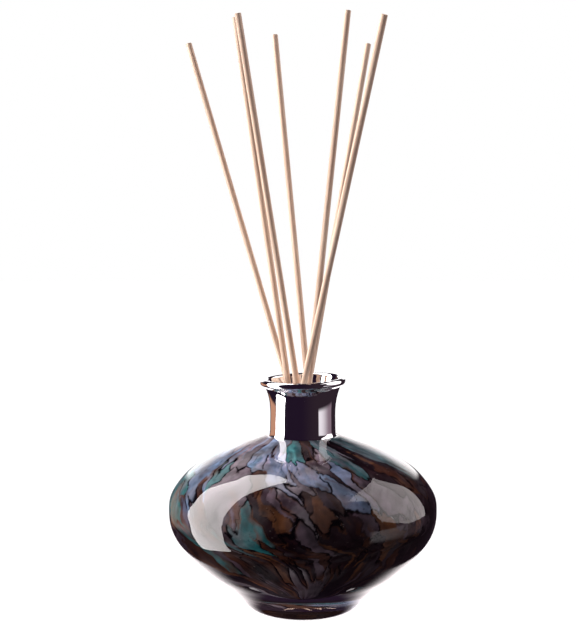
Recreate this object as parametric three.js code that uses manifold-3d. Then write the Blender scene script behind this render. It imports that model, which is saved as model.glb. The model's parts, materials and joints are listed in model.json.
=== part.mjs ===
// A reed diffuser: a hand-blown, oval art-glass bottle with a silver-plated neck, scented oil
// inside and seven wooden reeds that lean out through the neck.
// Millimetres, +Z up. The origin is the centre of the flat base.
//
// The bottle is built from its layers, from the outside in:
//   clear_glass_casing    the thick clear outer gather, with the neck and the flared lip
//   shard_COLOUR_N        the crushed pieces of coloured glass picked up on the core
//   inner_glass_bubble    the amber bubble that holds the oil
//   silver_neck_plating   the metal skin over the neck and the lip
//   fragrance_oil         the oil, with a passage round each reed
//   reed_1 ... reed_7     the reeds, each lifted out along its own length

import * as THREE from 'three';
import { mergeVertices } from 'three/addons/utils/BufferGeometryUtils.js';
import Module from 'manifold-3d';

// ---------------------------------------------------------------- driving dimensions
const BODY_RADIUS = 63.7;        // widest radius of the bottle
const BODY_WIDEST_Z = 46.5;
const BASE_RADIUS = 25.5;        // flat that the bottle stands on
const NECK_RADIUS = 15.6;        // outside of the plated neck
const NECK_FOOT_Z = 84.6;
const FLARE_START_Z = 97.5;
const LIP_CENTRE = [19.15, 108.1];
const LIP_BEAD_RADIUS = 1.1;
const THROAT_RADIUS = 12.7;

const PLATING_THICKNESS = 0.2;
const FIT_GAP = 0.3;             // clearance between pieces that touch
const PLATING_TOP_OF_THROAT_Z = 99.2;

const SHARD_TOP_DEPTH = 0.95;    // depths below the inner face of the casing
const SHARD_BOTTOM_DEPTH = 1.6;
const BUBBLE_OUTER_DEPTH = 3.2;
const BUBBLE_INNER_DEPTH = 4.7;
const BUBBLE_NECK_TOP_Z = 98;

const OIL_LEVEL_Z = 53;
const REED_RADIUS = 1.5;
const REED_PASSAGE_BELOW = 8;    // how far a reed's passage in the oil is cut past its foot
const REED_PASSAGE_LENGTH = 50;

const BODY_SPACING = 7;          // distance between the rings of a turned surface
const CORE_SPACING = 5.2;
const NECK_SPACING = 3.3;
const THROAT_SPACING = 2.6;
const OUTER_SEGMENTS = 36;       // facets round the casing and the plating
const INNER_SEGMENTS = 28;       // facets round the bubble and the oil
const REED_SEGMENTS = 12;

const COLOURS = {
  clear: 0xf4efee,
  amber: 0x7a4526,
  silver: 0xd9dadd,
  oil: 0xe8c98c,
  wood: 0xe6c7a1,
};
const SHARD_COLOURS = {
  teal: 0x3f8f93,
  blue: 0x8fa9c9,
  grey: 0x7d7079,
  amber: 0x8a5531,
  maroon: 0x3a1b22,
};

// The shards of coloured glass: the azimuth of each one's middle in degrees, where -90 is the
// front, and its distance along the core from the bottom centre. A shard ends halfway to its
// neighbours, so the middles alone set the outlines.
const SHARDS = {
  teal: [[-168, 64], [-118, 58], [-176, 84], [-146, 88], [-100, 106], [-24, 98], [-58, 106],
    [34, 62], [82, 98], [138, 48], [160, 103]],
  blue: [[-136, 104], [-158, 84], [-94, 95], [-108, 92], [-65, 88], [-116, 108], [108, 76]],
  grey: [[-151, 54], [-153, 102], [-135, 74], [-94, 84], [-73, 98], [-48, 74], [-80, 16],
    [150, 16], [62, 80], [128, 98], [16, 76], [40, 104]],
  amber: [[-146, 70], [-108, 76], [-84, 72], [-86, 108], [-105, 48], [-37, 55], [-138, 34],
    [84, 56], [140, 74]],
  maroon: [[-38, 94], [-14, 82], [-70, 50], [-50, 34], [-10, 54], [-90, 34], [30, 16],
    [112, 34], [174, 40]],
};
const SHARD_GAP = 1.6;           // gap between two outlines on the flat map of the core
const SHARD_MAP_RADIUS = 45;     // the map's width is this radius times the azimuth
const SHARD_MAP_STRETCH = 0.62;  // the map's height over the distance along the core
const SHARD_MAP_SWIRL = 0.5;     // sideways shift of the map for each millimetre of height
const SHARD_LOW_REACH = 8;       // distance along the core from its bottom centre to the shards
const SHARD_HIGH_STOP = 14;      // distance left bare below the foot of the neck
const SHARD_EDGE_STEP = 6;       // longest straight piece of a shard's outline on the map
const SHARD_RING_STEP = 5;       // widest ring of facets from a shard's middle to its outline

// Each reed: where its foot stands, how far its top is leaned over from there, and its length.
const REEDS = [
  { foot: [13.2, 2.3], lean: [-68.9, 27.9], length: 244.4 },
  { foot: [8.5, 3.4], lean: [-38.0, -19.9], length: 245.0 },
  { foot: [8.9, -11.5], lean: [-22.5, 50.6], length: 244.4 },
  { foot: [-9.6, -6.5], lean: [42.8, 51.2], length: 245.0 },
  { foot: [-4.7, -2.6], lean: [24.8, -8.1], length: 247.0 },
  { foot: [-13.6, 11.8], lean: [46.4, -69.8], length: 244.0 },
  { foot: [3.2, 7.2], lean: [-34.7, -5.7], length: 245.9 },
];

// ---------------------------------------------------------------- curves and profiles
const wasm = await Module();
wasm.setup();

const point = (r, z) => new THREE.Vector2(r, z);

function sampleSpline(points, spacing) {
  const curve = new THREE.SplineCurve(points.map(([r, z]) => point(r, z)));
  return curve.getSpacedPoints(Math.round(curve.getLength() / spacing));
}

// The outside of the body, from the edge of the flat base up to the foot of the neck.
function bodyOutside() {
  return sampleSpline([
    [BASE_RADIUS, 0], [28, 1.6], [33.5, 7.6], [40.6, 13.9], [49.4, 21.1],
    [58.1, 30.3], [62.5, 38.3], [BODY_RADIUS, BODY_WIDEST_Z], [62.3, 54.2],
    [55, 63.7], [45.8, 70.3], [36.4, 75], [27.4, 78.5], [21, 80.7],
    [17.1, 82.3], [NECK_RADIUS, NECK_FOOT_Z],
  ], BODY_SPACING);
}

// The inner face of the casing, from the bottom centre up to the foot of the neck. It is a
// shallow cone below and a dome above, so the bottle stands on a thick clear base.
function coreOutside() {
  return new THREE.SplineCurve([
    [0, 25], [7, 27], [14, 30.6], [20, 33.2], [27, 35], [35, 36.8], [42, 38.6],
    [48.5, 41], [52.6, 44.2], [55, 48.6], [55.6, 53.4], [54.6, 58.2], [51.8, 62.4],
    [43.5, 68], [34, 72.4], [25.5, 75.6], [19, 78.4], [15.3, 81.6], [13.9, 86],
  ].map(([r, z]) => point(r, z)));
}

// The plated surface: up the outside of the neck, over the lip and down into the throat.
function platedSurface() {
  const outside = sampleSpline([
    [NECK_RADIUS, FLARE_START_Z], [15.9, 100.6], [16.9, 104], [18.6, 107.1],
  ], NECK_SPACING);
  const [lipR, lipZ] = LIP_CENTRE;
  const bead = [-0.5, 0.1, 0.8, 1.5, 2.2, 2.9].map((angle) => point(
    lipR + LIP_BEAD_RADIUS * Math.cos(angle),
    lipZ + LIP_BEAD_RADIUS * Math.sin(angle),
  ));
  const inside = sampleSpline([
    [16.9, 106.3], [14.9, 103.2], [13.6, 101], [13.2, PLATING_TOP_OF_THROAT_Z],
  ], THROAT_SPACING);
  return [point(NECK_RADIUS, NECK_FOOT_Z), ...outside, ...bead, ...inside];
}

// Moves each point of a profile along its left-hand normal by the depth that depthAt gives.
function inset(points, depthAt) {
  return points.map((here, k) => {
    const before = points[Math.max(k - 1, 0)];
    const after = points[Math.min(k + 1, points.length - 1)];
    const along = after.clone().sub(before).normalize();
    const depth = depthAt(here);
    return point(Math.max(here.x - along.y * depth, 0), here.y + along.x * depth);
  });
}

// A layer's depth: full in the belly, easing to the neck's own depth above the shoulder.
function layerDepth(bellyDepth, neckDepth) {
  const [easeFrom, easeTo] = [77.8, 81.6];
  return ({ y: z }) => {
    const t = THREE.MathUtils.clamp((z - easeFrom) / (easeTo - easeFrom), 0, 1);
    return THREE.MathUtils.lerp(bellyDepth, neckDepth, t);
  };
}

const core = coreOutside();
const coreLength = core.getLength();
const corePoints = core.getSpacedPoints(Math.round(coreLength / CORE_SPACING));
const neckBore = corePoints[corePoints.length - 1].x;
const bubbleOutside = inset(corePoints, layerDepth(BUBBLE_OUTER_DEPTH, FIT_GAP));
const bubbleInside = inset(
  corePoints,
  layerDepth(BUBBLE_INNER_DEPTH, neckBore - THROAT_RADIUS),
);
bubbleOutside[0].x = 0;
bubbleInside[0].x = 0;

// ---------------------------------------------------------------- solids
// Turns a profile of radius and height about the Z axis.
function turned(points, segments) {
  return new THREE.LatheGeometry(points, segments).rotateX(Math.PI / 2);
}

function clearGlassCasing() {
  const plating = PLATING_THICKNESS + FIT_GAP;
  const neckAndLip = inset(platedSurface(), () => plating);
  const body = bodyOutside();
  const shoulder = body.slice(0, -1);
  const ledgeZ = BUBBLE_NECK_TOP_Z + FIT_GAP;
  return turned([
    point(0, 0),
    ...shoulder,
    ...neckAndLip,
    point(neckAndLip[neckAndLip.length - 1].x, ledgeZ),
    point(neckBore, ledgeZ),
    ...corePoints.slice().reverse(),
  ], OUTER_SEGMENTS);
}

function innerGlassBubble() {
  return turned([
    ...bubbleOutside,
    point(neckBore - FIT_GAP, BUBBLE_NECK_TOP_Z),
    point(THROAT_RADIUS, BUBBLE_NECK_TOP_Z),
    ...bubbleInside.slice().reverse(),
  ], INNER_SEGMENTS);
}

function silverNeckPlating() {
  const outer = platedSurface();
  const inner = inset(outer, () => PLATING_THICKNESS).reverse();
  return turned([...outer, ...inner, outer[0].clone()], OUTER_SEGMENTS);
}

// The height of the bubble's floor at a given radius, for the feet of the reeds.
function floorHeight(radius) {
  const k = bubbleInside.findIndex((p) => p.x > radius);
  const [a, b] = [bubbleInside[k - 1], bubbleInside[k]];
  return THREE.MathUtils.mapLinear(radius, a.x, b.x, a.y, b.y);
}

// The line of a reed, from the middle of its foot to the middle of its top.
function reedLine({ foot, lean, length }) {
  const over = Math.hypot(...lean);
  const rise = Math.sqrt(length ** 2 - over ** 2);
  const direction = new THREE.Vector3(...lean, rise).normalize();
  const footDrop = REED_RADIUS * over / length;
  const footReach = Math.hypot(...foot) + REED_RADIUS;
  const start = new THREE.Vector3(...foot, floorHeight(footReach) + FIT_GAP + footDrop);
  return { start, direction };
}

function rodAlong({ start, direction }, radius, before, length) {
  const rod = new THREE.CylinderGeometry(radius, radius, length, REED_SEGMENTS);
  rod.translate(0, length / 2 - before, 0);
  const up = new THREE.Vector3(0, 1, 0);
  rod.applyQuaternion(new THREE.Quaternion().setFromUnitVectors(up, direction));
  rod.translate(...start.toArray());
  return rod;
}

function toManifold(geometry) {
  const bare = geometry.clone();
  bare.deleteAttribute('normal');
  bare.deleteAttribute('uv');
  const merged = mergeVertices(bare, 1e-4);
  return new wasm.Manifold(new wasm.Mesh({
    numProp: 3,
    vertProperties: new Float32Array(merged.attributes.position.array),
    triVerts: new Uint32Array(merged.index.array),
  }));
}

function fromManifold(solid) {
  const mesh = solid.getMesh();
  const geometry = new THREE.BufferGeometry();
  geometry.setAttribute('position', new THREE.BufferAttribute(mesh.vertProperties, 3));
  geometry.setIndex(new THREE.BufferAttribute(mesh.triVerts, 1));
  geometry.computeVertexNormals();
  return geometry;
}

function fragranceOil() {
  const wetted = inset(bubbleInside.filter((p) => p.y < OIL_LEVEL_Z - 1), () => FIT_GAP);
  wetted[0].x = 0;
  const wall = bubbleInside.find((p) => p.y > OIL_LEVEL_Z);
  const last = wetted[wetted.length - 1];
  const t = (OIL_LEVEL_Z - last.y) / (wall.y - last.y);
  const surfaceRadius = THREE.MathUtils.lerp(last.x, wall.x - 2 * FIT_GAP, t);
  let solid = toManifold(turned([
    ...wetted,
    point(surfaceRadius, OIL_LEVEL_Z),
    point(0, OIL_LEVEL_Z),
  ], INNER_SEGMENTS));
  for (const reed of REEDS) {
    const passage = rodAlong(
      reedLine(reed),
      REED_RADIUS + FIT_GAP,
      REED_PASSAGE_BELOW,
      REED_PASSAGE_LENGTH,
    );
    solid = solid.subtract(toManifold(passage));
  }
  return fromManifold(solid);
}

// The flat map of the core: the azimuth in radians and the distance along the core become a
// point, with the swirl of the shards as a sideways shift.
function toMap(azimuth, along) {
  const height = along * SHARD_MAP_STRETCH;
  return point(azimuth * SHARD_MAP_RADIUS + SHARD_MAP_SWIRL * height, height);
}

// The point of the core at a place of the map, at a depth below the casing.
function fromMap({ x, y }, depth) {
  const angle = (x - SHARD_MAP_SWIRL * y) / SHARD_MAP_RADIUS;
  const along = y / SHARD_MAP_STRETCH / coreLength;
  const surface = core.getPointAt(along);
  const tangent = core.getTangentAt(along);
  const r = surface.x - tangent.y * depth;
  return [r * Math.cos(angle), r * Math.sin(angle), surface.y + tangent.x * depth];
}

// The part of a convex outline where the distance is positive.
function clipped(outline, distance) {
  return outline.flatMap((here, k) => {
    const next = outline[(k + 1) % outline.length];
    const [dHere, dNext] = [distance(here), distance(next)];
    const crossing = here.clone().lerp(next, dHere / (dHere - dNext));
    return [...(dHere > 0 ? [here] : []), ...(dHere > 0 !== dNext > 0 ? [crossing] : [])];
  });
}

// A shard's outline on the map: everything nearer to its middle than to any other.
function shardOutline(middle, others) {
  const halfTurn = Math.PI * SHARD_MAP_RADIUS;
  const low = toMap(0, SHARD_LOW_REACH).y;
  const high = toMap(0, coreLength - SHARD_HIGH_STOP).y;
  let outline = [
    point(middle.x - halfTurn, low), point(middle.x + halfTurn, low),
    point(middle.x + halfTurn, high), point(middle.x - halfTurn, high),
  ];
  for (const other of others) {
    for (const lap of [-1, 0, 1]) {
      const across = point(other.x + lap * 2 * halfTurn, other.y).sub(middle);
      const reach = (across.length() - SHARD_GAP) / 2;
      if (reach > 0) {
        const direction = across.clone().normalize();
        outline = clipped(outline, (p) => reach - p.clone().sub(middle).dot(direction));
      }
    }
  }
  return outline.flatMap((here, k) => {
    const next = outline[(k + 1) % outline.length];
    const steps = Math.ceil(here.distanceTo(next) / SHARD_EDGE_STEP);
    return Array.from({ length: steps }, (_, i) => here.clone().lerp(next, i / steps));
  });
}

// One shard: a thin curved tile with an outer face, an inner face and an edge all round.
function shard(outline) {
  const middle = outline.reduce((sum, p) => sum.add(p), point(0, 0));
  middle.divideScalar(outline.length);
  const reach = Math.max(...outline.map((p) => p.distanceTo(middle)));
  const rings = Math.ceil(reach / SHARD_RING_STEP);
  const positions = [];
  const index = [];
  for (const depth of [SHARD_TOP_DEPTH, SHARD_BOTTOM_DEPTH]) {
    positions.push(...fromMap(middle, depth));
    for (let ring = 1; ring <= rings; ring += 1) {
      for (const p of outline) {
        positions.push(...fromMap(middle.clone().lerp(p, ring / rings), depth));
      }
    }
  }
  const count = outline.length;
  const corner = (face, ring, k) => face * (rings * count + 1)
    + (ring === 0 ? 0 : 1 + (ring - 1) * count + (k % count));
  const triangle = (a, b, c) => index.push(a, b, c);
  const quad = (a, b, c, d) => index.push(a, b, c, a, c, d);
  for (let k = 0; k < count; k += 1) {
    triangle(corner(0, 0, k), corner(0, 1, k), corner(0, 1, k + 1));
    triangle(corner(1, 0, k), corner(1, 1, k + 1), corner(1, 1, k));
    for (let ring = 1; ring < rings; ring += 1) {
      quad(corner(0, ring, k), corner(0, ring + 1, k), corner(0, ring + 1, k + 1),
        corner(0, ring, k + 1));
      quad(corner(1, ring, k), corner(1, ring, k + 1), corner(1, ring + 1, k + 1),
        corner(1, ring + 1, k));
    }
    quad(corner(0, rings, k), corner(1, rings, k), corner(1, rings, k + 1),
      corner(0, rings, k + 1));
  }
  const geometry = new THREE.BufferGeometry();
  geometry.setAttribute('position', new THREE.Float32BufferAttribute(positions, 3));
  geometry.setIndex(index);
  geometry.computeVertexNormals();
  return geometry;
}

// ---------------------------------------------------------------- materials
const clearGlass = new THREE.MeshStandardMaterial({
  color: COLOURS.clear, roughness: 0.03, metalness: 0, transparent: true, opacity: 0.3,
});
const amberGlass = new THREE.MeshStandardMaterial({
  color: COLOURS.amber, roughness: 0.12, metalness: 0,
});
const silver = new THREE.MeshStandardMaterial({
  color: COLOURS.silver, roughness: 0.05, metalness: 1,
});
const oil = new THREE.MeshStandardMaterial({
  color: COLOURS.oil, roughness: 0.02, metalness: 0, transparent: true, opacity: 0.5,
});
const wood = new THREE.MeshStandardMaterial({
  color: COLOURS.wood, roughness: 0.75, metalness: 0,
});
const shardGlass = Object.fromEntries(
  Object.entries(SHARD_COLOURS).map(([name, color]) => [
    name,
    new THREE.MeshStandardMaterial({ color, roughness: 0.15, metalness: 0 }),
  ]),
);

// ---------------------------------------------------------------- the assembly
const diffuser = new THREE.Group();

function add(parent, name, geometry, material) {
  const mesh = new THREE.Mesh(geometry, material);
  mesh.name = name;
  parent.add(mesh);
}

const bottle = new THREE.Group();
add(bottle, 'clear_glass_casing', clearGlassCasing(), clearGlass);
add(bottle, 'inner_glass_bubble', innerGlassBubble(), amberGlass);
add(bottle, 'silver_neck_plating', silverNeckPlating(), silver);
add(bottle, 'fragrance_oil', fragranceOil(), oil);
diffuser.add(bottle);

const shards = new THREE.Group();
const middles = Object.entries(SHARDS).flatMap(([colour, places]) => places.map(
  ([azimuth, along], k) => ({
    name: `shard_${colour}_${k + 1}`,
    colour,
    middle: toMap(THREE.MathUtils.degToRad(azimuth), along),
  }),
));
for (const { name, colour, middle } of middles) {
  const others = middles.map((entry) => entry.middle).filter((other) => other !== middle);
  // a lap of its own middle closes a shard that would otherwise meet itself round the core
  const outline = shardOutline(middle, [...others, middle.clone()]);
  add(shards, name, shard(outline), shardGlass[colour]);
}
bottle.add(shards);

const reeds = new THREE.Group();
REEDS.forEach((reed, k) => {
  const rod = rodAlong(reedLine(reed), REED_RADIUS, 0, reed.length);
  add(reeds, `reed_${k + 1}`, rod, wood);
});
diffuser.add(reeds);

export default diffuser;
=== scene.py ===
"""The looks of a reed diffuser: cased art glass over a layer of coloured shards, a silver-plated
neck and seven wooden reeds. Lengths are written in millimetres and turned into metres by MM."""

import json
import math

import bpy
import numpy as np
from mathutils import Euler, Matrix, Vector


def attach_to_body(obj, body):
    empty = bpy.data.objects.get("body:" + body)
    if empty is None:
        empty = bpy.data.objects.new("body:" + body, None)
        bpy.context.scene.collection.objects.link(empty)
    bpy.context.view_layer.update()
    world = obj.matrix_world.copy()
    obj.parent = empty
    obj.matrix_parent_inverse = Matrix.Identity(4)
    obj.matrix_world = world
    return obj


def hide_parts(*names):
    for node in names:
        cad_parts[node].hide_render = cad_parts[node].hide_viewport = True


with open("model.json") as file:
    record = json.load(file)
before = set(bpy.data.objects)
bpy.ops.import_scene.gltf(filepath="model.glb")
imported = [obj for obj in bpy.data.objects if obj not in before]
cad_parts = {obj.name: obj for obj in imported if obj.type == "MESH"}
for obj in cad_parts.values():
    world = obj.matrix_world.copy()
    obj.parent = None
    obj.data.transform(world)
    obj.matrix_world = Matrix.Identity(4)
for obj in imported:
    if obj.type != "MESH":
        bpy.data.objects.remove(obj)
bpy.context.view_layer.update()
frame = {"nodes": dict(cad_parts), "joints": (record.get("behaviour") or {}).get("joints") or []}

MM = 0.001
BODY = "bottle"

# ------------------------------------------------------------------ driving dimensions (mm)
BODY_OUTSIDE = [
    [25.5, 0], [28, 1.6], [33.5, 7.6], [40.6, 13.9], [49.4, 21.1], [58.1, 30.3], [62.5, 38.3],
    [63.7, 46.5], [62.3, 54.2], [55, 63.7], [45.8, 70.3], [36.4, 75], [27.4, 78.5], [21, 80.7],
    [17.1, 82.3], [15.6, 84.6],
]
CORE_OUTSIDE = [
    [0, 25], [7, 27], [14, 30.6], [20, 33.2], [27, 35], [35, 36.8], [42, 38.6], [48.5, 41],
    [52.6, 44.2], [55, 48.6], [55.6, 53.4], [54.6, 58.2], [51.8, 62.4], [43.5, 68], [34, 72.4],
    [25.5, 75.6], [19, 78.4], [15.3, 81.6], [13.9, 86],
]
NECK_OUTSIDE = [[16.1, 81.9], [15.75, 82.7], [15.6, 84.5], [15.55, 88], [15.5, 92],
                [15.65, 95.5], [16.1, 99], [16.9, 102.2], [17.9, 104.8]]
THROAT = [[16.2, 106.3], [14.9, 103.2], [13.6, 101], [13.2, 99.2]]
BODY_WIDEST_Z = 46.5
LIP_CENTRE = (18.5, 107.3)
LIP_BEAD_RADIUS = 1.75
PLATING_THICKNESS = 0.2
FIT_GAP = 0.3
LIP_TILT = 0.034               # rise of the hand-made lip for each mm to the right
LIP_WAVE = 0.12
THROAT_RADIUS = 12.7
BUBBLE_NECK_TOP_Z = 98
BUBBLE_RIM_CHAMFER = 0.2
SHOULDER_START = 0.9           # how far outside the plating's foot the shoulder begins
OIL_LEVEL_Z = 53

CASING_CAVITY_DEPTH = 1.0      # the shards stand proud of this face, fused into the clear glass
SHARD_TOP_DEPTH = 0.3
SHARD_EDGE_DROP = 0.25
SHARD_BOTTOM_DEPTH = 1.6
BUBBLE_OUTER_DEPTH = 1.9
BUBBLE_INNER_DEPTH = 4.7
SHARD_NECK_EASE = 0.75         # share of the shards' depth that is lost in the neck
EASE_FROM_Z = 77.8
EASE_TO_Z = 81.6

REED_COUNT = 7
REED_RADIUS = 1.5
REED_CHAMFER = 0.14
REED_SIDES = 28
REED_RINGS = 90
REED_RIPPLE_LENGTH = 9

RING_SEGMENTS = 160
INNER_SEGMENTS = 128

# The shards: the azimuth of each middle in degrees (-90 is the front) and its distance along
# the core from the bottom centre.
SHARDS = {
    "teal": [(-168, 64), (-118, 58), (-176, 84), (-146, 88), (-100, 106), (-24, 98), (-58, 106),
             (34, 62), (82, 98), (138, 48), (160, 103)],
    "blue": [(-136, 104), (-158, 84), (-94, 95), (-108, 92), (-65, 88), (-116, 108), (108, 76)],
    "grey": [(-151, 54), (-153, 102), (-135, 74), (-94, 84), (-73, 98), (-48, 74), (-80, 16),
             (150, 16), (62, 80), (128, 98), (16, 76), (40, 104)],
    "amber": [(-146, 70), (-108, 76), (-84, 72), (-86, 108), (-105, 48), (-37, 55), (-138, 34),
              (84, 56), (140, 74)],
    "maroon": [(-38, 94), (-14, 82), (-70, 50), (-50, 34), (-10, 54), (-90, 34), (30, 16),
               (112, 34), (174, 40)],
}
MAP_RADIUS = 45
MAP_STRETCH = 0.62
MAP_SWIRL = 0.5
SHARD_FOOT = 1.5               # reach of the shard layer along the core
SHARD_HEAD = 121.5
GRID_COLUMNS = 640
GRID_ROWS = 230
FRAGMENTS = 640                # splinters of glass that the shards are made of
SPLINTER_LEAN = 0.38           # radians, the way the splinters were dragged on the map
SPLINTER_STRETCH = 0.42
INLAND = 3.0                   # this far from an edge, a place counts as the middle
EDGE_ROUNDING = 0.5
RIM_PULL = 0.3                 # how far a shard's rim draws back from its neighbours, in cells
BORDER_EASE = 0.55             # share of the way that a border moves to its smooth place

SOFTBOX_DISTANCE = 1250
SOFTBOX_CENTRE_Z = 50
FLOOR_HALF = 3000
FLOOR_Z = -0.3

# ------------------------------------------------------------------ camera
CAMERA_PLACE = (-6.32, -531.23, 182.07)
CAMERA_DROP = 0.0811           # radians below level
CAMERA_LENS = 64.47
CAMERA_SENSOR = 36

# ------------------------------------------------------------------ colours (linear)
PALETTE = {
    "teal": [(0.018, 0.115, 0.125), (0.035, 0.155, 0.165), (0.010, 0.062, 0.075)],
    "blue": [(0.110, 0.165, 0.265), (0.140, 0.190, 0.280), (0.070, 0.100, 0.165)],
    "grey": [(0.068, 0.046, 0.061), (0.108, 0.078, 0.100), (0.036, 0.023, 0.032)],
    "amber": [(0.046, 0.016, 0.009), (0.026, 0.010, 0.007), (0.100, 0.040, 0.017)],
    "maroon": [(0.012, 0.004, 0.006), (0.020, 0.009, 0.012), (0.007, 0.003, 0.005)],
}
VEIN = (0.0025, 0.0015, 0.0025)
FRINGE = (0.085, 0.030, 0.012)
MILK = (0.150, 0.135, 0.155)
# The blues and teals turn greyer to the right of an azimuth in degrees, by a share.
GREYED_TO_THE_RIGHT = {"blue": (-138, 0.75), "teal": (-95, 0.62)}
GREYED_OVER = 20
GREYED_LIFT = 1.6
# The milky colours are paler round the shoulder: from and to a distance along the core.
PALER_SHOULDER = (84, 100)
SHOULDER_LIFT = 1.6
SOFTNESS = {"teal": 0.65, "blue": 0.75, "grey": 0.5, "amber": 0.1, "maroon": 0.1}
MILKINESS = {"teal": 0.35, "blue": 0.5, "grey": 0.5, "amber": 0.12, "maroon": 0.06}
STRAY_SHARE = {"teal": 0.12, "blue": 0.14, "grey": 0.34, "amber": 0.40, "maroon": 0.42}
STRAY_COLOURS = {
    "teal": ["grey", "blue"],
    "blue": ["grey", "teal"],
    "grey": ["blue", "amber", "maroon"],
    "amber": ["maroon", "grey", "amber"],
    "maroon": ["amber", "grey", "maroon"],
}
PAINT_FLOOR = 0.0015
WHITE = (1.0, 1.0, 1.0)
BLACK = (0.0, 0.0, 0.0)


# ------------------------------------------------------------------ profiles
def resample(points, spacing):
    """Evenly spaced points along a polyline."""
    steps = np.hypot(*np.diff(points, axis=0).T)
    reach = np.r_[0, np.cumsum(steps)]
    wanted = np.linspace(0, reach[-1], max(2, round(reach[-1] / spacing) + 1))
    return np.c_[np.interp(wanted, reach, points[:, 0]), np.interp(wanted, reach, points[:, 1])]


def spline(points, spacing):
    """Evenly spaced points along a smooth curve through the given ones."""
    p = np.array(points, float)
    p = np.vstack([p[:1], p, p[-1:]])
    t = np.linspace(0, 1, 40, endpoint=False)[:, None]
    pieces = []
    for a, b, c, d in zip(p, p[1:], p[2:], p[3:]):
        v0, v1 = (c - a) / 2, (d - b) / 2
        pieces.append((2 * b - 2 * c + v0 + v1) * t ** 3
                      + (3 * c - 3 * b - 2 * v0 - v1) * t ** 2 + v0 * t + b)
    return resample(np.vstack([*pieces, p[-1:]]), spacing)


def tangents(points):
    along = np.vstack([points[1] - points[0], points[2:] - points[:-2], points[-1] - points[-2]])
    return along / np.linalg.norm(along, axis=1, keepdims=True)


def inset(points, depth):
    """The profile moved along its left-hand normal."""
    along = tangents(points)
    moved = points + np.c_[-along[:, 1] * depth, along[:, 0] * depth]
    moved[:, 0] = np.maximum(moved[:, 0], 0)
    return moved


def smoothstep(low, high, value):
    t = np.clip((value - low) / (high - low), 0, 1)
    return t * t * (3 - 2 * t)


def layer_depth(belly, neck, z):
    """A layer's depth: full in the belly, easing to the neck's own depth above the shoulder."""
    return belly + (neck - belly) * np.clip((z - EASE_FROM_Z) / (EASE_TO_Z - EASE_FROM_Z), 0, 1)


CORE = spline(CORE_OUTSIDE, 0.25)
CORE_TANGENTS = tangents(CORE)
CORE_REACH = np.r_[0, np.cumsum(np.hypot(*np.diff(CORE, axis=0).T))]
NECK_BORE = CORE[-1, 0]


def core_layer(belly, neck, spacing=1.2):
    layer = resample(CORE, spacing)
    layer = inset(layer, layer_depth(belly, neck, layer[:, 1]))
    layer[0, 0] = 0
    return layer


def plated_surface(spacing=0.6):
    angles = np.linspace(-1.25, 2.95, 22)
    bead = np.c_[LIP_CENTRE[0] + LIP_BEAD_RADIUS * np.cos(angles),
                 LIP_CENTRE[1] + LIP_BEAD_RADIUS * np.sin(angles)]
    return np.vstack([spline(NECK_OUTSIDE, spacing), bead, spline(THROAT, spacing)])


# ------------------------------------------------------------------ meshes
def new_piece(name, verts, faces, material, sharp_angle=40):
    """A smooth-shaded mesh object from points in metres."""
    mesh = bpy.data.meshes.new(name)
    mesh.from_pydata(verts, [], faces)
    mesh.update()
    mesh.shade_smooth()
    mesh.set_sharp_from_angle(angle=math.radians(sharp_angle))
    mesh.materials.append(material)
    piece = bpy.data.objects.new(name, mesh)
    bpy.context.scene.collection.objects.link(piece)
    return piece


def lip_warp(points):
    """The hand-made lip: a slight tilt and waviness that fades out down the neck."""
    lifted = smoothstep(100, 108, points[:, 2])
    around = np.arctan2(points[:, 1], points[:, 0])
    tilt = LIP_TILT * points[:, 0] + LIP_WAVE * np.sin(2 * around + 0.6)
    return np.c_[points[:, :2], points[:, 2] + lifted * tilt]


def turned(name, profile, material, segments=RING_SEGMENTS):
    """A closed solid turned about the Z axis from a profile that ends on the axis or closes."""
    loop = np.allclose(profile[0], profile[-1])
    rings = profile[:-1] if loop else profile
    angles = np.arange(segments) * 2 * math.pi / segments
    verts, starts, sizes = [], [], []
    for r, z in rings:
        starts.append(sum(sizes))
        on_axis = r < 1e-6
        sizes.append(1 if on_axis else segments)
        if on_axis:
            verts.append(np.array([[0, 0, z]]))
        else:
            verts.append(np.c_[r * np.cos(angles), r * np.sin(angles), np.full(segments, z)])
    faces = []
    pairs = list(zip(range(len(rings)), range(1, len(rings))))
    if loop:
        pairs.append((len(rings) - 1, 0))
    for a, b in pairs:
        for k in range(segments):
            n = (k + 1) % segments
            at = [starts[a] + k, starts[b] + k, starts[b] + n, starts[a] + n]
            if sizes[a] == 1:
                at = [starts[a], starts[b] + k, starts[b] + n]
            if sizes[b] == 1:
                at = [starts[a] + k, starts[b], starts[a] + n]
            faces.append(at[::-1])
    points = lip_warp(np.vstack(verts)) * MM
    return new_piece(name, points.tolist(), faces, material)


# ------------------------------------------------------------------ noise
def waves(points, size, seed, count=22):
    """Smooth noise from -1 to 1 at points in space: a sum of plane waves of about that size."""
    random = np.random.default_rng(seed)
    directions = random.normal(size=(count, 3))
    directions /= np.linalg.norm(directions, axis=1, keepdims=True)
    rates = 2 * math.pi / size * random.uniform(0.6, 1.4, count)
    phases = random.uniform(0, 2 * math.pi, count)
    total = np.zeros(len(points))
    for direction, rate, phase in zip(directions, rates, phases):
        total += np.cos(points @ (direction * rate) + phase)
    return total / math.sqrt(count / 2)


# ------------------------------------------------------------------ the shard layer
def core_points(azimuth, along, depth):
    """Points in space at an azimuth in radians, a distance along the core and a depth."""
    r = np.interp(along, CORE_REACH, CORE[:, 0])
    z = np.interp(along, CORE_REACH, CORE[:, 1])
    tr = np.interp(along, CORE_REACH, CORE_TANGENTS[:, 0])
    tz = np.interp(along, CORE_REACH, CORE_TANGENTS[:, 1])
    eased = depth * (1 - smoothstep(EASE_FROM_Z, EASE_TO_Z, z) * SHARD_NECK_EASE)
    r = r - tz * eased
    return np.stack([r * np.cos(azimuth), r * np.sin(azimuth), z + tr * eased], -1)


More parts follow.
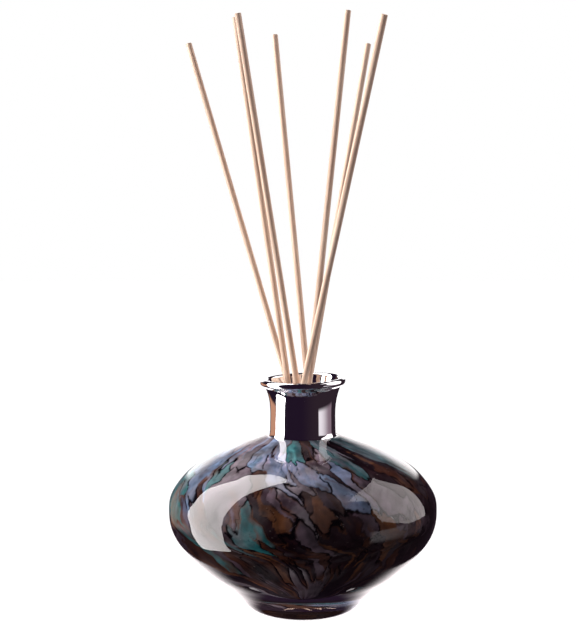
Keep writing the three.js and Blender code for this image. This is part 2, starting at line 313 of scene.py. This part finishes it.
def to_map(azimuth, along):
    height = along * MAP_STRETCH
    return azimuth * MAP_RADIUS + MAP_SWIRL * height, height


def nearest_two(x, y, seeds_x, seeds_y, margin=40):
    """For each point of the map: the nearest and second nearest seed, and how far the point
    is inside the nearest one's cell. The map closes on itself round the bottle."""
    turn = 2 * math.pi * MAP_RADIUS
    names = np.arange(len(seeds_x))
    low, high = x.min() - margin, x.max() + margin
    laps = [(names, seeds_x + lap * turn, seeds_y) for lap in (-1, 0, 1)]
    names, seeds_x, seeds_y = (np.concatenate(part) for part in zip(*laps))
    near = (seeds_x > low) & (seeds_x < high)
    names, seeds_x, seeds_y = names[near], seeds_x[near], seeds_y[near]
    best = np.full(x.shape, 1e9)
    second = np.full(x.shape, 1e9)
    which = np.zeros(x.shape, int)
    runner = np.zeros(x.shape, int)
    for k, (sx, sy) in enumerate(zip(seeds_x, seeds_y)):
        d = (x - sx) ** 2 + (y - sy) ** 2
        nearer = d < best
        between = ~nearer & (d < second)
        second = np.where(nearer, best, np.where(between, d, second))
        runner = np.where(nearer, which, np.where(between, k, runner))
        which = np.where(nearer, k, which)
        best = np.minimum(best, d)
    gap = np.hypot(seeds_x[which] - seeds_x[runner], seeds_y[which] - seeds_y[runner])
    return names[which], names[runner], (second - best) / (2 * np.maximum(gap, 1e-6))


def splinter_map(x, y):
    """The map squeezed along the drag of the glass, so that round cells there are splinters.
    It keeps x as the way round, so it still closes on itself."""
    return x + math.tan(SPLINTER_LEAN) * y, y * SPLINTER_STRETCH


def warped_map(azimuth, along):
    """Map coordinates with the ragged wander of broken, stretched glass."""
    space = core_points(azimuth, along, 0).reshape(-1, 3)
    x, y = to_map(azimuth, along)
    for size, reach, seed in ((34, 1.2, 11), (10, 0.7, 12), (3.2, 0.22, 13)):
        x = x + reach * waves(space, size, seed).reshape(x.shape)
        y = y + reach * waves(space, size, seed + 50).reshape(x.shape)
    return x, y


shard_list = [(colour, f"shard_{colour}_{k + 1}", math.radians(azimuth), along)
              for colour, places in SHARDS.items() for k, (azimuth, along) in enumerate(places)]
seeds = [to_map(azimuth, along) for _, _, azimuth, along in shard_list]
SEEDS_X, SEEDS_Y = np.array(seeds, float).T


def splinters():
    """Every splinter: its seed, the shard it is part of, its tone and a number for its luck."""
    random = np.random.default_rng(7)
    azimuth = random.uniform(-math.pi, math.pi, FRAGMENTS)
    along = random.uniform(SHARD_FOOT, SHARD_HEAD, FRAGMENTS)
    x, y = to_map(azimuth, along)
    part_of, _, _ = nearest_two(x, y, SEEDS_X, SEEDS_Y)
    part_of[:len(SEEDS_X)] = np.arange(len(SEEDS_X))
    x[:len(SEEDS_X)], y[:len(SEEDS_X)] = SEEDS_X, SEEDS_Y
    x, y = splinter_map(x, y)
    return x, y, part_of, random.integers(0, 3, FRAGMENTS), random.random(FRAGMENTS)


SPLINTER_X, SPLINTER_Y, PART_OF, TONE, LUCK = splinters()


def lerp(a, b, t):
    return a + (np.asarray(b) - a) * t[..., None]


def drift(points, size, seed, low, high):
    """Soft blotches from 0 to 1 of about that size; low and high set how much they cover."""
    return smoothstep(low, high, waves(points, size, seed))


def soft_line(distance, width, full_to=0.35):
    """A line along an edge: full to a share of its width, and gone beyond it."""
    return 1 - smoothstep(full_to, 1.0, distance / width)


def splinter_tints(colour, fragment):
    """The tint of each vertex's splinter: a tone of the shard's colour, or a stray one."""
    strays = STRAY_COLOURS[colour]
    picks = (LUCK * 997).astype(int) % len(strays)
    stray_tints = np.array([PALETTE[strays[p]][t] for p, t in zip(picks, TONE)])
    is_stray = (LUCK < STRAY_SHARE[colour])[fragment]
    own = np.array(PALETTE[colour])[TONE[fragment]]
    return np.where(is_stray[:, None], stray_tints[fragment], own)


def shard_paint(colour, azimuth, along, edge, fragment, fragment_edge):
    """The glass's own colour at each vertex of a shard: tone by splinter, milky drift within
    it, amber fringes and black veins along the edges."""
    space = core_points(azimuth, along, 0)
    soft = SOFTNESS[colour]
    tint = splinter_tints(colour, fragment)
    if colour in GREYED_TO_THE_RIGHT:
        start, share = GREYED_TO_THE_RIGHT[colour]
        greyed = smoothstep(math.radians(start), math.radians(start + GREYED_OVER), azimuth)
        tint = lerp(tint, np.array(PALETTE["grey"])[TONE[fragment]] * GREYED_LIFT,
                    share * greyed)
    lift = SHOULDER_LIFT * soft * smoothstep(*PALER_SHOULDER, along)
    tint = tint * (1 + lift)[:, None]
    near_splinter_edge = smoothstep(0, 2.5, INLAND - fragment_edge)
    tint = lerp(tint, np.array(PALETTE[colour][0]), soft * near_splinter_edge)
    tint = tint * (1 + 0.25 * waves(space, 14, 21) + 0.12 * waves(space, 4, 22))[:, None]
    tint = lerp(tint, MILK, drift(space, 12, 23, 0.2, 1.8) * (0.1 + 0.5 * soft))
    reach = 0.9 + 2.4 * drift(space, 15, 24, -0.4, 1.4)
    fringe = soft_line(edge, reach, 0.1) * drift(space, 19, 25, -0.3, 0.8)
    tint = lerp(tint, FRINGE, fringe * 0.85)
    width = 0.22 + 0.75 * drift(space, 10, 26, -0.2, 1.9)
    vein = soft_line(edge, width) * drift(space, 16, 29, -1.1, -0.3)
    hair = (0.14 + 0.34 * drift(space, 8, 27, 0.0, 1.6)) * (1.25 - soft)
    crack = soft_line(fragment_edge, hair) * drift(space, 17, 28, 0.9 * soft, 0.5 + soft)
    dark = np.maximum(vein, 0.9 * crack)
    return np.clip(lerp(tint, VEIN, dark), PAINT_FLOOR, 1), dark


def smooth_borders(labels, passes=5):
    """Sideways shifts of the grid's points, in cells, that straighten the steps between cells."""
    up = np.pad(labels, ((0, 0), (1, 1)), mode="edge")
    below, above = up[:, :-1], up[:, 1:]
    left_above = np.roll(above, 1, 0)
    east = below != above
    north = above != left_above
    north[:, -1] = False
    west = np.roll(east, 1, 0)
    south = np.roll(north, 1, 1)
    south[:, 0] = False
    shift = np.zeros(labels.shape[:1] + (labels.shape[1] + 1, 2))
    for _ in range(passes):
        total = np.zeros_like(shift)
        count = np.zeros(shift.shape[:2])
        for mask, axis, step in ((east, 0, 1), (west, 0, -1), (north, 1, 1), (south, 1, -1)):
            neighbour = np.roll(shift, -step, axis)
            offset = np.array([step, 0]) if axis == 0 else np.array([0, step])
            total += (neighbour + offset) * mask[..., None]
            count += mask
        moving = count >= 2
        moving[:, 0] = moving[:, -1] = False
        mean = total / np.maximum(count, 1)[..., None]
        eased = (1 - BORDER_EASE) * shift + BORDER_EASE * mean
        shift = np.where(moving[..., None], eased, shift)
    return shift


def build_shards(materials):
    """One thin closed solid for each shard, cut from a fine grid laid over the core."""
    columns = np.arange(GRID_COLUMNS)
    rows = np.arange(GRID_ROWS + 1)
    azimuth_step = 2 * math.pi / GRID_COLUMNS
    along_step = (SHARD_HEAD - SHARD_FOOT) / GRID_ROWS
    middles_round = (columns + 0.5) * azimuth_step - math.pi
    middles_along = SHARD_FOOT + (rows[:-1] + 0.5) * along_step
    centre_az, centre_along = np.meshgrid(middles_round, middles_along, indexing="ij")
    splinter, _, _ = nearest_two(*splinter_map(*warped_map(centre_az, centre_along)),
                                 SPLINTER_X, SPLINTER_Y)
    labels = PART_OF[splinter]
    shift = smooth_borders(labels)
    place = np.stack(np.meshgrid(columns, rows, indexing="ij"), -1) + shift
    azimuth = place[..., 0] * azimuth_step - math.pi
    along = SHARD_FOOT + place[..., 1] * along_step
    fragment, beside, fragment_edge = nearest_two(*splinter_map(*warped_map(azimuth, along)),
                                                  SPLINTER_X, SPLINTER_Y)
    edge = np.where(PART_OF[fragment] != PART_OF[beside], fragment_edge, INLAND)
    pieces = []
    for label, (colour, node, _, _) in enumerate(shard_list):
        i, j = np.nonzero(labels == label)
        corners = np.stack([i * (GRID_ROWS + 1) + j,
                            (i + 1) % GRID_COLUMNS * (GRID_ROWS + 1) + j,
                            (i + 1) % GRID_COLUMNS * (GRID_ROWS + 1) + j + 1,
                            i * (GRID_ROWS + 1) + j + 1], 1)
        used, quads = np.unique(corners, return_inverse=True)
        quads = quads.reshape(-1, 4)
        pieces.append(shard_piece(
            node, colour, quads, azimuth.ravel()[used], along.ravel()[used], edge.ravel()[used],
            fragment.ravel()[used], fragment_edge.ravel()[used], materials[colour]))
    return pieces


def shard_piece(node, colour, quads, azimuth, along, edge, fragment, fragment_edge, material):
    """A closed tile over those cells of the grid, with a rim that draws back and rounds off."""
    count = len(azimuth)
    sides = np.vstack([quads[:, [k, (k + 1) % 4]] for k in range(4)])
    keys = sides[:, 0] * count + sides[:, 1]
    opposite = sides[:, 1] * count + sides[:, 0]
    rim = sides[~np.isin(keys, opposite)]
    on_rim = np.zeros(count, bool)
    on_rim[rim.ravel()] = True
    reference = azimuth[quads[0, 0]]
    unwrapped = reference + (azimuth - reference + math.pi) % (2 * math.pi) - math.pi
    mid_az = unwrapped[quads].mean(1)
    mid_along = along[quads].mean(1)
    total = np.zeros((count, 2))
    touches = np.zeros(count)
    for k in range(4):
        np.add.at(total, quads[:, k], np.c_[mid_az, mid_along])
        np.add.at(touches, quads[:, k], 1)
    inward = total / touches[:, None]
    pull = np.where(on_rim, RIM_PULL, 0)
    azimuth = unwrapped + (inward[:, 0] - unwrapped) * pull
    along = along + (inward[:, 1] - along) * pull
    drop = SHARD_EDGE_DROP * np.exp(-edge / EDGE_ROUNDING)
    top = core_points(azimuth, along, SHARD_TOP_DEPTH + drop)
    bottom = core_points(azimuth, along, SHARD_BOTTOM_DEPTH)
    walls = np.c_[rim[:, 1], rim[:, 0], rim[:, 0] + count, rim[:, 1] + count]
    faces = np.vstack([quads, quads[:, ::-1] + count, walls])
    piece = fast_mesh(node + "_glass", np.vstack([top, bottom]) * MM, faces, material)
    tint, dark = shard_paint(colour, azimuth, along, edge, fragment, fragment_edge)
    shade = piece.data.attributes.new("tint", "FLOAT_COLOR", "POINT")
    both_faces = np.tile(np.c_[tint, 1 - dark], (2, 1))
    shade.data.foreach_set("color", both_faces.astype(np.float32).ravel())
    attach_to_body(piece, BODY)
    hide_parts(node)
    return piece


def fast_mesh(name, verts, quads, material):
    """A smooth-shaded mesh object from arrays of points in metres and four-sided faces."""
    mesh = bpy.data.meshes.new(name)
    mesh.vertices.add(len(verts))
    mesh.vertices.foreach_set("co", verts.astype(np.float32).ravel())
    mesh.loops.add(quads.size)
    mesh.loops.foreach_set("vertex_index", quads.astype(np.int32).ravel())
    mesh.polygons.add(len(quads))
    mesh.polygons.foreach_set("loop_start", np.arange(0, quads.size, 4, dtype=np.int32))
    mesh.update(calc_edges=True)
    mesh.validate()
    mesh.shade_smooth()
    mesh.set_sharp_from_angle(angle=math.radians(50))
    mesh.materials.append(material)
    piece = bpy.data.objects.new(name, mesh)
    bpy.context.scene.collection.objects.link(piece)
    return piece


# ------------------------------------------------------------------ materials
class Graph:
    """A short way to make and link shader nodes."""

    def __init__(self, owner):
        owner.use_nodes = True
        self.tree = owner.node_tree
        self.tree.nodes.clear()

    def add(self, kind, inputs=None, **properties):
        made = self.tree.nodes.new("ShaderNode" + kind)
        for key, value in properties.items():
            setattr(made, key, value)
        for key, value in (inputs or {}).items():
            self.put(made.inputs[key], value)
        return made

    def put(self, socket, value):
        if isinstance(value, bpy.types.NodeSocket):
            self.tree.links.new(value, socket)
        elif isinstance(value, tuple) and len(value) == 3 and socket.type == "RGBA":
            socket.default_value = (*value, 1)
        else:
            socket.default_value = value

    def math(self, operation, a, b=0.0):
        made = self.add("Math", operation=operation)
        self.put(made.inputs[0], a)
        self.put(made.inputs[1], b)
        return made.outputs[0]

    def mix(self, factor, a, b):
        made = self.add("Mix", data_type="RGBA")
        self.put(made.inputs[0], factor)
        self.put(made.inputs[6], a)
        self.put(made.inputs[7], b)
        return made.outputs[2]

    def ramp(self, value, low, high, to_low=0.0, to_high=1.0):
        return self.add("MapRange", {"Value": value, "From Min": low, "From Max": high,
                                     "To Min": to_low, "To Max": to_high},
                        interpolation_type="SMOOTHSTEP").outputs[0]

    def noise(self, scale, detail=3.0, distortion=0.0, vector=None):
        vector = vector or self.add("TexCoord").outputs["Object"]
        return self.add("TexNoise", {"Vector": vector, "Scale": scale, "Detail": detail,
                                     "Distortion": distortion}).outputs["Fac"]

    def finish(self, shader, kind="OutputMaterial"):
        self.add(kind, {"Surface": shader})


def new_material(name):
    material = bpy.data.materials.new(name)
    return material, Graph(material)


def seen_rays(graph):
    """1 for what is seen directly or through glass."""
    path = graph.add("LightPath").outputs
    return graph.math("MAXIMUM", path["Is Camera Ray"], path["Is Transmission Ray"])


def see_through(graph, glass, tint):
    """Glass that lets light for shading pass straight through, so it doesn't shade its inside."""
    path = graph.add("LightPath").outputs
    passing = graph.math("MAXIMUM", path["Is Shadow Ray"], path["Is Diffuse Ray"])
    clear = graph.add("BsdfTransparent", {"Color": tint})
    return graph.add("MixShader", {0: passing, 1: glass, 2: clear.outputs[0]}).outputs[0]


def clear_glass():
    material, graph = new_material("clear_glass")
    ripple = graph.noise(38.0, 2.0)
    bump = graph.add("Bump", {"Strength": 0.25, "Distance": 0.0006, "Height": ripple})
    tint = graph.mix(graph.noise(26.0, 2.0), (1.0, 0.985, 0.985), (0.975, 0.955, 0.96))
    glass = graph.add("BsdfGlass", {"Color": tint, "Roughness": 0.0, "IOR": 1.5,
                                    "Normal": bump.outputs[0]})
    graph.finish(see_through(graph, glass.outputs[0], (0.96, 0.95, 0.95)))
    return material


def shard_glass(colour, milkiness):
    """Milky glass fused under the clear casing: its own painted tint with fine drawn-out
    streaks, small pale specks painted in as glints of light, and hardly any shine of its own."""
    material, graph = new_material("shard_" + colour)
    paint = graph.add("Attribute", attribute_name="tint").outputs
    clean = paint["Alpha"]
    mapped = graph.add("Mapping", {"Vector": graph.add("TexCoord").outputs["Object"],
                                   "Rotation": (0.0, math.radians(35), 0.0),
                                   "Scale": (1.0, 1.0, 0.3)}).outputs[0]
    streaks = graph.ramp(graph.noise(190.0, 5.0, 0.6, mapped), 0.32, 0.70)
    cloud = graph.ramp(graph.noise(55.0, 4.0, 0.8), 0.35, 0.72)
    light = graph.mix(0.5, paint["Color"], (0.62, 0.58, 0.62))
    haze = graph.math("MULTIPLY", graph.math("MULTIPLY", cloud, milkiness), clean)
    hazed = graph.mix(haze, paint["Color"], light)
    darker = graph.mix(0.55, hazed, BLACK)
    colour_out = graph.mix(graph.math("MULTIPLY", streaks, 0.55), hazed, darker)
    # Painted glints: small pale specks mixed into the colour, standing in for glints of light
    # inside the glass.
    painted_glints = graph.ramp(graph.noise(900.0, 1.0), 0.72, 0.80, 0.0, 0.16)
    colour_out = graph.mix(graph.math("MULTIPLY", painted_glints, clean), colour_out, (0.5, 0.42, 0.38))
    surface = graph.add("BsdfPrincipled", {"Base Color": colour_out, "Roughness": 0.45,
                                           "Specular IOR Level": 0.0})
    graph.finish(surface.outputs[0])
    return material


def amber_bubble():
    material, graph = new_material("bubble_glass")
    swirl = graph.noise(70.0, 4.0, 1.2)
    tint = graph.mix(graph.ramp(swirl, 0.35, 0.65), (0.016, 0.006, 0.005), (0.10, 0.036, 0.014))
    surface = graph.add("BsdfPrincipled", {"Base Color": tint, "Roughness": 0.12,
                                           "Specular IOR Level": 0.5})
    graph.finish(surface.outputs[0])
    return material


def silver_plating():
    material, graph = new_material("silver_plating")
    smudge = graph.noise(60.0, 5.0, 0.5)
    roughness = graph.ramp(smudge, 0.45, 0.8, 0.015, 0.09)
    tint = graph.mix(graph.noise(90.0, 2.0), (0.90, 0.89, 0.91), (0.80, 0.80, 0.83))
    dents = graph.noise(45.0, 2.0)
    bump = graph.add("Bump", {"Strength": 0.15, "Distance": 0.0003, "Height": dents})
    surface = graph.add("BsdfPrincipled", {"Base Color": tint, "Metallic": 1.0,
                                           "Roughness": roughness, "Normal": bump.outputs[0]})
    graph.finish(surface.outputs[0])
    return material


def fragrance_oil():
    material, graph = new_material("oil")
    tint = graph.mix(graph.noise(20.0), (0.98, 0.86, 0.55), (0.95, 0.80, 0.48))
    glass = graph.add("BsdfGlass", {"Color": tint, "Roughness": 0.0, "IOR": 1.45})
    graph.finish(see_through(graph, glass.outputs[0], (0.97, 0.88, 0.66)))
    return material


def reed_wood():
    """Pale rattan-like wood with fine grain drawn out along the reed."""
    material, graph = new_material("reed_wood")
    place = graph.add("TexCoord").outputs["Object"]
    grain_place = graph.add("Mapping", {"Vector": place, "Scale": (1.0, 1.0, 0.02)}).outputs[0]
    grain = graph.ramp(graph.noise(1500.0, 4.0, 0.3, grain_place), 0.35, 0.68)
    bands = graph.add("Mapping", {"Vector": place, "Scale": (1.0, 1.0, 0.12)}).outputs[0]
    blotch = graph.ramp(graph.noise(160.0, 3.0, 0.4, bands), 0.3, 0.75)
    pale = graph.mix(blotch, (0.88, 0.68, 0.53), (0.76, 0.54, 0.41))
    tint = graph.mix(graph.math("MULTIPLY", grain, 0.55), pale, (0.50, 0.31, 0.22))
    height = graph.math("ADD", grain, graph.math("MULTIPLY", blotch, 0.4))
    bump = graph.add("Bump", {"Strength": 0.35, "Distance": 0.0001, "Height": height})
    surface = graph.add("BsdfPrincipled", {"Base Color": tint, "Roughness": 0.62,
                                           "Specular IOR Level": 0.3, "Normal": bump.outputs[0]})
    graph.finish(surface.outputs[0])
    return material


# ------------------------------------------------------------------ the bottle's layers
def glass_casing(material):
    plated = inset(plated_surface(), PLATING_THICKNESS + FIT_GAP)
    body = spline(BODY_OUTSIDE, 1.2)
    shoulder_radius = NECK_OUTSIDE[0][0] + SHOULDER_START
    body = body[(body[:, 0] > shoulder_radius) | (body[:, 1] < BODY_WIDEST_Z)]
    cavity = core_layer(CASING_CAVITY_DEPTH, 0.0)
    ledge = BUBBLE_NECK_TOP_Z + FIT_GAP
    inside_neck = np.array([[plated[-1, 0], ledge], [NECK_BORE, ledge]])
    foot = np.array([[0, 0], [8, 0], [16, 0], [23, 0.0], [24.9, 0.05]])
    return turned("casing_glass", np.vstack([foot, body[1:], plated, inside_neck, cavity[::-1]]),
                  material)


def glass_bubble(material):
    outside = core_layer(BUBBLE_OUTER_DEPTH, FIT_GAP)
    inside = core_layer(BUBBLE_INNER_DEPTH, NECK_BORE - THROAT_RADIUS)
    outer_radius = NECK_BORE - FIT_GAP
    low, high = BUBBLE_NECK_TOP_Z - BUBBLE_RIM_CHAMFER, BUBBLE_NECK_TOP_Z
    rim = np.array([[outer_radius, low], [outer_radius - BUBBLE_RIM_CHAMFER, high],
                    [THROAT_RADIUS + BUBBLE_RIM_CHAMFER, high], [THROAT_RADIUS, low]])
    profile = np.vstack([outside, rim, inside[::-1]])
    return turned("bubble_glass", profile, material, INNER_SEGMENTS)


def neck_plating(material):
    outer = plated_surface()
    inner = inset(outer, PLATING_THICKNESS)[::-1]
    return turned("neck_plating", np.vstack([outer, inner, outer[:1]]), material)


def oil_body(material):
    """The oil, up to its level, with a meniscus that climbs the wall a little."""
    wall = inset(core_layer(BUBBLE_INNER_DEPTH, NECK_BORE - THROAT_RADIUS), FIT_GAP)
    wetted = wall[wall[:, 1] < OIL_LEVEL_Z]
    wetted[0, 0] = 0
    edge = wetted[-1, 0]
    surface = np.array([[edge - 0.4, OIL_LEVEL_Z - 0.05], [edge - 1.6, OIL_LEVEL_Z - 0.5],
                        [edge - 4, OIL_LEVEL_Z - 0.7], [edge / 2, OIL_LEVEL_Z - 0.75],
                        [0, OIL_LEVEL_Z - 0.75]])
    return turned("oil_body", np.vstack([wetted, surface]), material, INNER_SEGMENTS)


# ------------------------------------------------------------------ the reeds
def reed_piece(number, material):
    """A round reed with a chamfered cut at each end, along its slide joint's axis."""
    node = f"reed_{number}"
    joint = next(j for j in frame["joints"] if j["child"] == node)
    direction = Vector(joint["axis"]).normalized()
    points = np.array([v.co for v in frame["nodes"][node].data.vertices])
    reach = points @ np.array(direction)
    foot = Vector(points[reach < reach.min() + 1e-5].mean(0))
    length = reach.max() - reach.min()
    radius = REED_RADIUS * MM
    chamfer = REED_CHAMFER * MM
    sides = REED_SIDES
    random = np.random.default_rng(100 + number)
    heights = np.r_[0, chamfer, np.linspace(chamfer, length - chamfer, REED_RINGS)[1:-1],
                    length - chamfer, length]
    radii = np.r_[radius - chamfer, np.full(len(heights) - 2, radius), radius - chamfer]
    around = np.arange(sides) * 2 * math.pi / sides
    flats = sum(a * np.cos(n * around + p) for n, a, p in
                zip((2, 3, 5), random.uniform(0.002, 0.010, 3), random.uniform(0, 6.28, 3)))
    verts = []
    for h, r in zip(heights, radii):
        ripple = r * (1 - 0.012 + flats - 0.004 * math.sin(h / (REED_RIPPLE_LENGTH * MM) + number))
        verts += np.c_[ripple * np.cos(around), ripple * np.sin(around), np.full(sides, h)].tolist()
    verts += [[0, 0, 0.05 * MM], [0, 0, length - 0.08 * MM]]
    faces = []
    for level in range(len(heights) - 1):
        for k in range(sides):
            n = (k + 1) % sides
            a, b = level * sides, (level + 1) * sides
            faces.append([a + k, a + n, b + n, b + k])
    last = (len(heights) - 1) * sides
    for k in range(sides):
        n = (k + 1) % sides
        faces.append([len(verts) - 2, n, k])
        faces.append([len(verts) - 1, last + k, last + n])
    piece = new_piece(node + "_wood", verts, faces, material, 35)
    turn = direction.to_track_quat("Z", "Y").to_matrix().to_4x4()
    piece.matrix_world = Matrix.Translation(foot) @ turn
    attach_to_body(piece, node)
    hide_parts(node)
    return piece


# ------------------------------------------------------------------ studio
def camera():
    data = bpy.data.cameras.new("camera")
    data.lens = CAMERA_LENS
    data.sensor_width = CAMERA_SENSOR
    made = bpy.data.objects.new("camera", data)
    made.location = Vector(CAMERA_PLACE) * MM
    made.rotation_euler = Euler((math.pi / 2 - CAMERA_DROP, 0, 0))
    bpy.context.scene.collection.objects.link(made)
    bpy.context.scene.camera = made


# The parts of the studio that shiny surfaces mirror. Each fade is an axis of the direction, where
# it starts and where it is full; a part is where all of its fades are.
BACKDROP = [("behind", 0.82, 0.95), ("up", -0.08, 0.0), ("up", 0.42, 0.16)]
STRAIGHT_BACK = [("behind", 0.975, 0.995), ("up", -0.36, -0.30), ("up", 0.42, 0.16)]
WARM_WALL = [("behind", 0.30, 0.42), ("side", 0.02, -0.10), ("up", 0.15, 0.0),
             ("up", -0.34, -0.26), ("behind", 0.94, 0.86)]
TABLE = [("up", -0.20, -0.28), ("back", 0.30, 0.70), ("up", -0.78, -0.50)]
BESIDE = [("behind", -0.57, -0.52), ("behind", 0.52, 0.46), ("side", 0.0, 0.1),
          ("up", -0.04, -0.09), ("up", -0.36, -0.26)]
# How far a line of sight to the bottle's side spreads sideways, and how far it falls. Mirrored
# directions near these come from the upright sides, which don't catch the white behind.
VIEW_SPREAD = 0.12
VIEW_FALL = 0.2
SLOPED = (-0.02, 0.05)

SHADE_LIGHT = (0.31, 0.29, 0.31)
DARK_LEFT = (0.016, 0.008, 0.020)
DARK_RIGHT = (0.030, 0.018, 0.026)
WARM_LIGHT = (0.60, 0.30, 0.19)
BESIDE_FRONT = (0.95, 0.88, 0.92)
BESIDE_BACK = (0.27, 0.19, 0.23)
BACKDROP_LIGHT = (2.5, 2.45, 2.45)
TABLE_LIGHT = (2.3, 2.15, 2.18)


def view_axes(graph):
    """The direction's components: up and back, and along the ground behind and to the side."""
    direction = graph.add("SeparateXYZ", {0: graph.add("TexCoord").outputs["Generated"]}).outputs
    up = direction[2]
    level = graph.math("SQRT", graph.math("SUBTRACT", 1.0001, graph.math("POWER", up, 2.0)))
    return {"up": up, "back": direction[1], "behind": graph.math("DIVIDE", direction[1], level),
            "side": graph.math("DIVIDE", direction[0], level)}


def where(graph, axes, fades):
    """1 where every fade is full, and 0 beyond the start of any."""
    steps = [graph.ramp(axes[axis], start, full) for axis, start, full in fades]
    inside = steps[0]
    for step in steps[1:]:
        inside = graph.math("MULTIPLY", inside, step)
    return inside


def mirrored_studio(graph):
    """A dark room with a lit backdrop and table behind the object, and a warm wall beside it."""
    axes = view_axes(graph)
    sideways = graph.math("SUBTRACT", graph.math("ABSOLUTE", axes["side"]), VIEW_SPREAD)
    tilted = graph.math("ABSOLUTE", graph.math("ADD", axes["up"], VIEW_FALL))
    sloped = graph.ramp(graph.math("SUBTRACT", tilted, sideways), *SLOPED)
    behind = graph.math("MAXIMUM", where(graph, axes, BACKDROP), where(graph, axes, STRAIGHT_BACK))
    beside_light = graph.mix(graph.ramp(axes["behind"], -0.5, 0.3), BESIDE_FRONT, BESIDE_BACK)
    light = graph.mix(graph.ramp(axes["side"], -0.2, 0.9), DARK_LEFT, DARK_RIGHT)
    light = graph.mix(where(graph, axes, WARM_WALL), light, WARM_LIGHT)
    light = graph.mix(where(graph, axes, BESIDE), light, beside_light)
    light = graph.mix(graph.math("MULTIPLY", behind, sloped), light, BACKDROP_LIGHT)
    table = graph.math("MULTIPLY", where(graph, axes, TABLE), sloped)
    return graph.mix(table, light, TABLE_LIGHT)


def studio_world():
    """A white room for what is seen directly or through the glass, soft light for shading, and
    a studio of its own for what shiny surfaces mirror."""
    world = bpy.data.worlds.new("studio")
    bpy.context.scene.world = world
    graph = Graph(world)
    colour = graph.mix(seen_rays(graph), SHADE_LIGHT, WHITE)
    glossy = graph.add("LightPath").outputs["Is Glossy Ray"]
    colour = graph.mix(glossy, colour, mirrored_studio(graph))
    graph.finish(graph.add("Background", {"Color": colour}).outputs[0], "OutputWorld")


# Outlines as seen from the bottle: degrees left of the camera's side, and degrees above level.
LEFT_SOFTBOX = [(66, -34), (68, -19), (69, 13), (80, 40), (86, 53), (98, 62), (124, 71), (156, 76),
                (150, 64), (138, 54), (120, 30), (113, 12), (107, -13), (104, -34)]
RIGHT_SOFTBOX = [(-93, -4), (-80, 8), (-70, 23), (-74, 41), (-84, 50), (-68, 60), (-105, 60),
                 (-136, 47), (-130, 34), (-127, 19), (-122, 4), (-120, -5)]


def softbox(name, outline, radiance, tint):
    """A lit panel that only shading and reflections see."""
    centre = Vector((0, 0, SOFTBOX_CENTRE_Z * MM))
    distance = SOFTBOX_DISTANCE * MM
    corners = []
    for left, above in outline:
        a, e = math.radians(left), math.radians(above)
        direction = Vector((-math.sin(a) * math.cos(e), -math.cos(a) * math.cos(e), math.sin(e)))
        corners.append(centre + direction * distance)
    middle = sum(corners, Vector()) / len(corners)
    middle = centre + (middle - centre).normalized() * distance
    count = len(corners)
    triangles = [[k, (k + 1) % count, count] for k in range(count)]
    material, graph = new_material(name)
    graph.finish(graph.add("Emission", {"Color": tint, "Strength": radiance}).outputs[0])
    panel = new_piece(name, [*corners, middle], triangles, material)
    panel.visible_camera = False
    panel.visible_transmission = False
    panel.visible_shadow = False


def floor():
    """A pale floor that only the camera, the glass and shading see."""
    material, graph = new_material("floor")
    matt = graph.add("BsdfDiffuse", {"Color": (0.06, 0.055, 0.06)})
    glow = graph.add("Emission", {"Color": WHITE, "Strength": seen_rays(graph)})
    graph.finish(graph.add("AddShader", {0: matt.outputs[0], 1: glow.outputs[0]}).outputs[0])
    half, z = FLOOR_HALF * MM, FLOOR_Z * MM
    corners = [(-half, -half, z), (half, -half, z), (half, half, z), (-half, half, z)]
    plane = new_piece("floor", corners, [[0, 1, 2, 3]], material)
    plane.visible_glossy = False
    plane.visible_shadow = False


# ------------------------------------------------------------------ assembly
def attach(piece, node):
    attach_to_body(piece, BODY)
    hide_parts(node)


camera()
studio_world()
floor()
softbox("left_softbox", LEFT_SOFTBOX, 8.0, (1.0, 0.97, 0.96))
softbox("right_softbox", RIGHT_SOFTBOX, 2.4, (1.0, 0.93, 0.93))
bpy.context.scene.view_settings.view_transform = "Standard"

attach(glass_casing(clear_glass()), "clear_glass_casing")
attach(glass_bubble(amber_bubble()), "inner_glass_bubble")
attach(neck_plating(silver_plating()), "silver_neck_plating")
attach(oil_body(fragrance_oil()), "fragrance_oil")
build_shards({colour: shard_glass(colour, MILKINESS[colour]) for colour in SHARDS})
wood = reed_wood()
for number in range(1, REED_COUNT + 1):
    reed_piece(number, wood)
